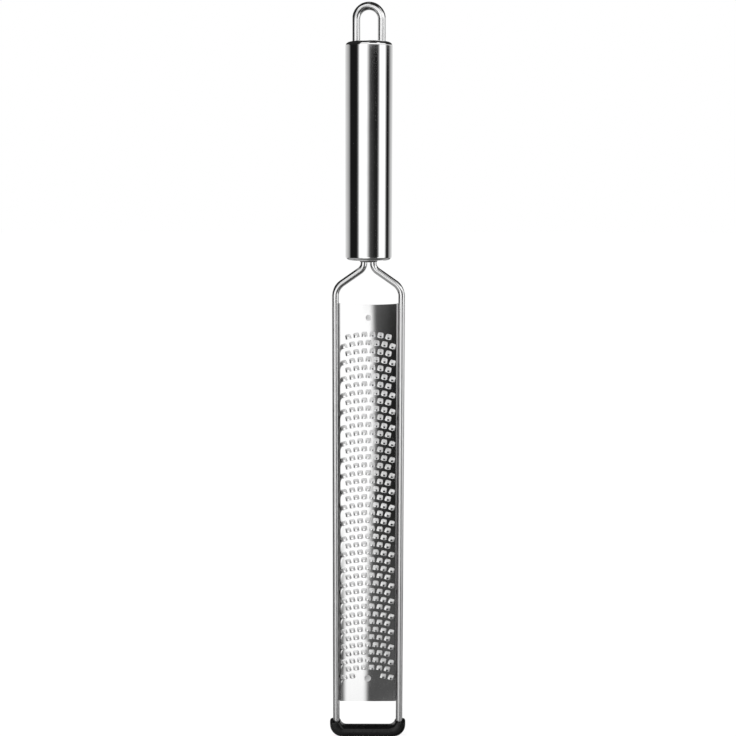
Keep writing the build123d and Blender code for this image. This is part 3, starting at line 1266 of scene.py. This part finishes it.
class ZESTER_OT_welds(bpy.types.Operator):
    """Build the neck's bead and the tack beads behind the blade, and finish the loop's rings"""

    bl_idname = "zester.welds"
    bl_label = "Weld beads"

    def execute(self, context):
        draw = random.Random(7)
        points, faces = [], []
        tack_x = (TACKS_HIGH.x + BLADE_HIGH.x) / 2
        tack_length = 2.4 * MM
        first = TACKS_LOW.z + tack_length / 2
        last = TACKS_HIGH.z - tack_length / 2
        count = 5
        for k in range(count):
            for side in (-1, 1):
                z = first + (last - first) * k / (count - 1) + draw.uniform(-0.15, 0.15) * MM
                centre = (side * tack_x, TACKS_HIGH.y - 0.62 * MM, z)
                size = draw.uniform(0.92, 1.0)
                radii = (0.72 * MM * size, 0.58 * MM * size, tack_length / 2 * size)
                bead(points, faces, centre, radii, draw.uniform(0, 50))
        tacks = new_piece("blade_weld_beads", points, faces, finish_of(weld_metal))
        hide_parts("blade_welds")

        points, faces, rings = [], [], []
        sides = 64
        reach = NECK_WELD_HIGH.x
        round_half = NECK_WELD_HIGH.y
        straight = reach - round_half
        top, low = NECK_WELD_HIGH.z, NECK_WELD_LOW.z
        # The bead's outline from the top down: share of its height, and inset in millimetres
        outline = ((0.0, 0.1), (0.12, 0.0), (0.35, 0.02), (0.6, 0.14), (0.85, 0.36), (1.0, 0.62))
        for drop, inset in outline:
            ring = []
            for k in range(sides):
                angle = 2 * math.pi * k / sides
                ripple = 0.05 * math.sin(angle * 9) + 0.09 * noise.noise(
                    Vector((math.cos(angle) * 2, math.sin(angle) * 2, drop))
                )
                radius = round_half - (inset + 0.1 - ripple * 0.7) * MM
                x = math.copysign(straight, math.cos(angle)) * min(1, abs(math.cos(angle)) * 3)
                ring.append(len(points))
                points.append(
                    (
                        x + radius * math.cos(angle),
                        radius * math.sin(angle),
                        top + (low - top) * drop,
                    )
                )
            rings.append(ring)
        stitch_rings(faces, rings[::-1])
        faces.append(tuple(rings[0]))
        faces.append(tuple(reversed(rings[-1])))
        neck = new_piece("neck_weld_bead", points, faces, finish_of(weld_metal))
        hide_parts("neck_weld")
        dress_node("loop_welds", finish_of(weld_metal))
        return {"FINISHED"}


def studio_mirror(desk, studio):
    """Brightness of the studio as bright metal mirrors it, by direction: panels, dark cards and walls.

    All angles are in degrees. Turn goes round the zester: 0 in front, 90 at its right, 180 behind. Rise
    is the angle above the horizon.
    """
    way = desk.add("ShaderNodeTexCoord").outputs["Generated"]
    split = desk.add("ShaderNodeSeparateXYZ", {0: way}).outputs
    towards = desk.math("MULTIPLY", split["Y"], -1.0)
    turn = desk.math("DEGREES", desk.math("ARCTAN2", split["X"], towards))
    rise = desk.math("DEGREES", desk.math("ARCSINE", split["Z"]))
    panel = studio.panel_light
    wall = studio.wall_light
    dark = 0.012

    def round_about(stops):
        """Brightness by direction round the zester, from (angle, value) stops."""
        ramp = desk.add("ShaderNodeValToRGB", {"Fac": desk.span(turn, -180, 180, curve="LINEAR")})
        elements = ramp.color_ramp.elements
        elements.remove(elements[1])
        for k, (angle, value) in enumerate(stops):
            element = elements[0] if k == 0 else elements.new((angle + 180) / 360)
            element.position = (angle + 180) / 360
            element.color = (value, value, value, 1.0)
        return desk.add("ShaderNodeSeparateColor", {0: ramp.outputs[0]}).outputs["Red"]

    # The walls behind, a dark card on either side, and the white panel in front
    walls = [(-180, 1.5), (-156, 1.4), (-133, 1.1), (-122, 0.86), (-112, 0.66), (-105, 0.2)]
    light = round_about(
        [(angle, value * wall) for angle, value in walls]
        + [(-99, dark), (-63, dark), (-57, 0.06), (-51, 0.5), (-46, panel), (84, panel), (91, 0.55)]
        + [(96, 0.1), (100, dark), (110, dark), (116, 0.14), (124, 0.38), (135, 0.65)]
        + [(150, 0.75), (180, 0.95)]
    )
    # The dark card in front on the right, with soft edges
    card = round_about(
        [(-180, panel), (-12, panel), (-4, 0.75), (1, 0.38), (5, 0.14), (10, 0.07), (15, 0.052)]
        + [(20, 0.042), (25, 0.028), (30, 0.02), (41, 0.018), (45, 0.12), (50, 0.5), (55, panel)]
    )
    # The band that the loop mirrors on the right, and two dark patches above the horizon
    loop_band = desk.math("MULTIPLY", desk.span(rise, 6.4, 7.0), desk.span(rise, 9.5, 12.0, 1.0, 0.0))
    light = desk.blend(desk.math("MULTIPLY", loop_band, desk.window(turn, 45.0, 200.0, 6.0)), light, 0.82)
    left_dark = desk.math("MULTIPLY", desk.span(rise, 6.6, 7.2), desk.window(turn, -112.0, -43.0, 4.0))
    light = desk.blend(left_dark, light, 0.02)
    rim_dark = desk.math("MULTIPLY", desk.span(rise, 21.0, 27.0), desk.window(turn, 2.0, 44.0, 4.0))
    light = desk.blend(rim_dark, light, 0.02)
    # At the horizon the card hangs in front of the rest
    light = desk.blend(desk.window(rise, -5.3, 6.85, 0.2), light, desk.math("MINIMUM", light, card))

    # Below the horizon the card has a slanting left edge
    right_end = desk.span(turn, 41.0, 49.0, 1.0, 0.0)
    edge = desk.math(
        "ADD",
        desk.span(rise, -23.0, -12.0, -3.3, 7.0, "LINEAR"),
        desk.span(rise, -12.0, -6.0, 0.0, -3.2, "LINEAR"),
    )
    beyond = desk.math("SUBTRACT", turn, edge)
    lower = desk.math("MULTIPLY", desk.span(beyond, -4.0, 5.0), right_end)
    lower = desk.math("MULTIPLY", lower, desk.window(rise, -25.2, -5.3, 0.2))
    light = desk.blend(lower, light, desk.math("MULTIPLY", card, desk.span(rise, -9.0, -5.5, 0.8, 1.9)))

    # Dark shade further down, and the floor under it
    aside = desk.math("SUBTRACT", 1.0, desk.window(turn, -29.0, 0.3, 3.0))
    shade = desk.math("MULTIPLY", desk.span(rise, -22.0, -15.0, 1.0, 0.0), aside)
    near = desk.window(turn, -40.0, 40.0, 6.0)
    light = desk.blend(shade, light, desk.blend(near, 0.02, 0.1))
    light = desk.math("MULTIPLY", light, desk.span(rise, -23.5, -17.0, 0.93, 1.0))
    face = desk.window(turn, -36.0, 36.0, 3.0)
    raised = desk.math("ADD", rise, desk.math("MULTIPLY", face, 1.3))
    light = desk.blend(desk.span(raised, -24.6, -24.0, 1.0, 0.0), light, 0.4)
    front_floor = desk.window(turn, -5.0, 108.0, 30.0)
    below = desk.span(raised, -31.5, -28.0, 1.0, 0.0)
    light = desk.blend(below, light, desk.blend(front_floor, 0.42, 0.05))
    nadir = desk.span(rise, -70.0, -58.0, 1.0, 0.0)
    light = desk.blend(nadir, light, 0.12)

    # Dark above the walls, a bright roof on the left, a dark one on the right and overhead, grey on top
    behind = desk.math("SUBTRACT", 1.0, desk.window(turn, -106.0, 106.0, 6.0))
    high_wall = desk.math("MULTIPLY", behind, desk.span(rise, 10.0, 16.0))
    light = desk.blend(high_wall, light, 0.03)
    left_roof = desk.math("MULTIPLY", desk.window(rise, 10.0, 30.0, 2.0), desk.window(turn, -45.0, 0.0, 5.0))
    light = desk.blend(left_roof, light, 0.8)
    right_roof = desk.math("MULTIPLY", desk.span(rise, 26.0, 32.0), desk.span(turn, 58.0, 66.0))
    light = desk.blend(right_roof, light, 0.03)
    light = desk.blend(desk.span(rise, 42.0, 50.0), light, 0.03)
    return desk.blend(desk.span(rise, 83.0, 86.0), light, 0.6)


def studio_world(studio):
    """White to the camera, plain soft light on plain surfaces, and the studio's panels to metal."""
    world = bpy.data.worlds.new("plain_studio")
    bpy.context.scene.world = world
    world.use_nodes = True
    world.node_tree.nodes.clear()
    world.cycles.sampling_method = "NONE"
    desk = NodeDesk(world.node_tree)
    path = desk.add("ShaderNodeLightPath").outputs
    mirrored = desk.math("MAXIMUM", path["Is Glossy Ray"], path["Is Transmission Ray"])
    soft_light = 0.8
    strength = desk.blend(mirrored, soft_light, studio_mirror(desk, studio))
    strength = desk.blend(path["Is Camera Ray"], strength, 1.0)
    sky = desk.add("ShaderNodeBackground", {"Color": (1, 1, 1, 1), "Strength": strength})
    desk.add("ShaderNodeOutputWorld", {"Surface": sky.outputs[0]})


def pale_floor():
    """A plain pale floor that keeps a soft shadow and is white to the camera."""
    material = bpy.data.materials.new("pale_floor")
    material.use_nodes = True
    material.node_tree.nodes.clear()
    desk = NodeDesk(material.node_tree)
    path = desk.add("ShaderNodeLightPath").outputs
    matt = desk.add("ShaderNodeBsdfDiffuse", {"Color": (0.86, 0.86, 0.86, 1.0)})
    glow = desk.add("ShaderNodeEmission", {"Color": (1, 1, 1, 1), "Strength": 1.08})
    seen = desk.math("MAXIMUM", path["Is Camera Ray"], path["Is Glossy Ray"])
    seen = desk.math("MAXIMUM", seen, path["Is Transmission Ray"])
    share = desk.math("MULTIPLY", seen, 0.82)
    mixed = desk.add("ShaderNodeMixShader", {0: share, 1: matt.outputs[0], 2: glow.outputs[0]})
    desk.add("ShaderNodeOutputMaterial", {"Surface": mixed.outputs[0]})
    return material


def soft_lamp(name, place, power):
    """A large soft lamp that looks at the blade and isn't mirrored in it."""
    lamp = bpy.data.lights.new(name, "AREA")
    lamp.shape = "SQUARE"
    lamp.size = LAMP_SIZE
    lamp.energy = power
    holder = bpy.data.objects.new(name, lamp)
    bpy.context.scene.collection.objects.link(holder)
    holder.location = place
    aim = Vector((0, 0, 0.12)) - Vector(place)
    holder.rotation_euler = aim.to_track_quat("-Z", "Y").to_euler()
    holder.visible_glossy = False


class ZESTER_OT_stage(bpy.types.Operator):
    """Set up the camera, the pale floor, the soft lamps and the studio round the zester"""

    bl_idname = "zester.stage"
    bl_label = "Stage"

    def execute(self, context):
        scene = context.scene
        studio = scene.zester_studio
        scene.view_settings.view_transform = "Standard"
        studio_world(studio)

        # Half the floor's width, in metres
        half = 6.0
        mesh = bpy.data.meshes.new("floor")
        corners = [(-half, -half, 0), (half, -half, 0), (half, half, 0), (-half, half, 0)]
        mesh.from_pydata(corners, [], [(0, 1, 2, 3)])
        mesh.materials.append(pale_floor())
        floor = bpy.data.objects.new("floor", mesh)
        scene.collection.objects.link(floor)
        floor.visible_glossy = False

        soft_lamp("key_lamp", (-0.7, -0.6, 1.1), 7.0)
        soft_lamp("fill_lamp", (0.9, -0.5, 0.7), 3.0)

        lens = bpy.data.cameras.new("camera")
        lens.lens = studio.camera_lens
        lens.sensor_width = 36.0
        camera = bpy.data.objects.new("camera", lens)
        scene.collection.objects.link(camera)
        place = Vector(studio.camera_place)
        camera.location = place
        aim = Vector((place.x, 0, studio.camera_aim_height)) - place
        camera.rotation_euler = aim.to_track_quat("-Z", "Y").to_euler()
        camera.rotation_euler.rotate_axis("Z", studio.camera_roll)
        scene.camera = camera
        return {"FINISHED"}


class ZESTER_PT_panel(bpy.types.Panel):
    """Lists the zester's sizes, finishes, pieces and stage"""

    bl_label = "Rasp zester"
    bl_idname = "ZESTER_PT_panel"
    bl_space_type = "VIEW_3D"
    bl_region_type = "UI"
    bl_category = "Rasp zester"

    def draw(self, context):
        layout = self.layout
        for name in ("zester_sizes", "zester_finish", "zester_studio"):
            group = getattr(context.scene, name)
            box = layout.box()
            for key in group.__annotations__:
                box.prop(group, key)
        for operator in OPERATORS:
            layout.operator(operator.bl_idname)


SETTINGS = {
    "zester_sizes": ZesterSizes,
    "zester_finish": ZesterFinish,
    "zester_studio": ZesterStudio,
}
OPERATORS = (
    ZESTER_OT_handle,
    ZESTER_OT_loop,
    ZESTER_OT_frame_wire,
    ZESTER_OT_blade,
    ZESTER_OT_foot,
    ZESTER_OT_welds,
    ZESTER_OT_stage,
)


def register():
    """Registers the settings, operators and panel."""
    for name, group in SETTINGS.items():
        bpy.utils.register_class(group)
        setattr(bpy.types.Scene, name, PointerProperty(type=group))
    for operator in OPERATORS:
        bpy.utils.register_class(operator)
    bpy.utils.register_class(ZESTER_PT_panel)


def unregister():
    """Takes the settings, operators and panel away again."""
    bpy.utils.unregister_class(ZESTER_PT_panel)
    for operator in reversed(OPERATORS):
        bpy.utils.unregister_class(operator)
    for name, group in reversed(list(SETTINGS.items())):
        delattr(bpy.types.Scene, name)
        bpy.utils.unregister_class(group)


def main():
    """Builds every piece and the stage."""
    register()
    bpy.ops.zester.handle()
    bpy.ops.zester.loop()
    bpy.ops.zester.frame_wire()
    bpy.ops.zester.blade()
    bpy.ops.zester.foot()
    bpy.ops.zester.welds()
    bpy.ops.zester.stage()


if __name__ == "__main__":
    main()
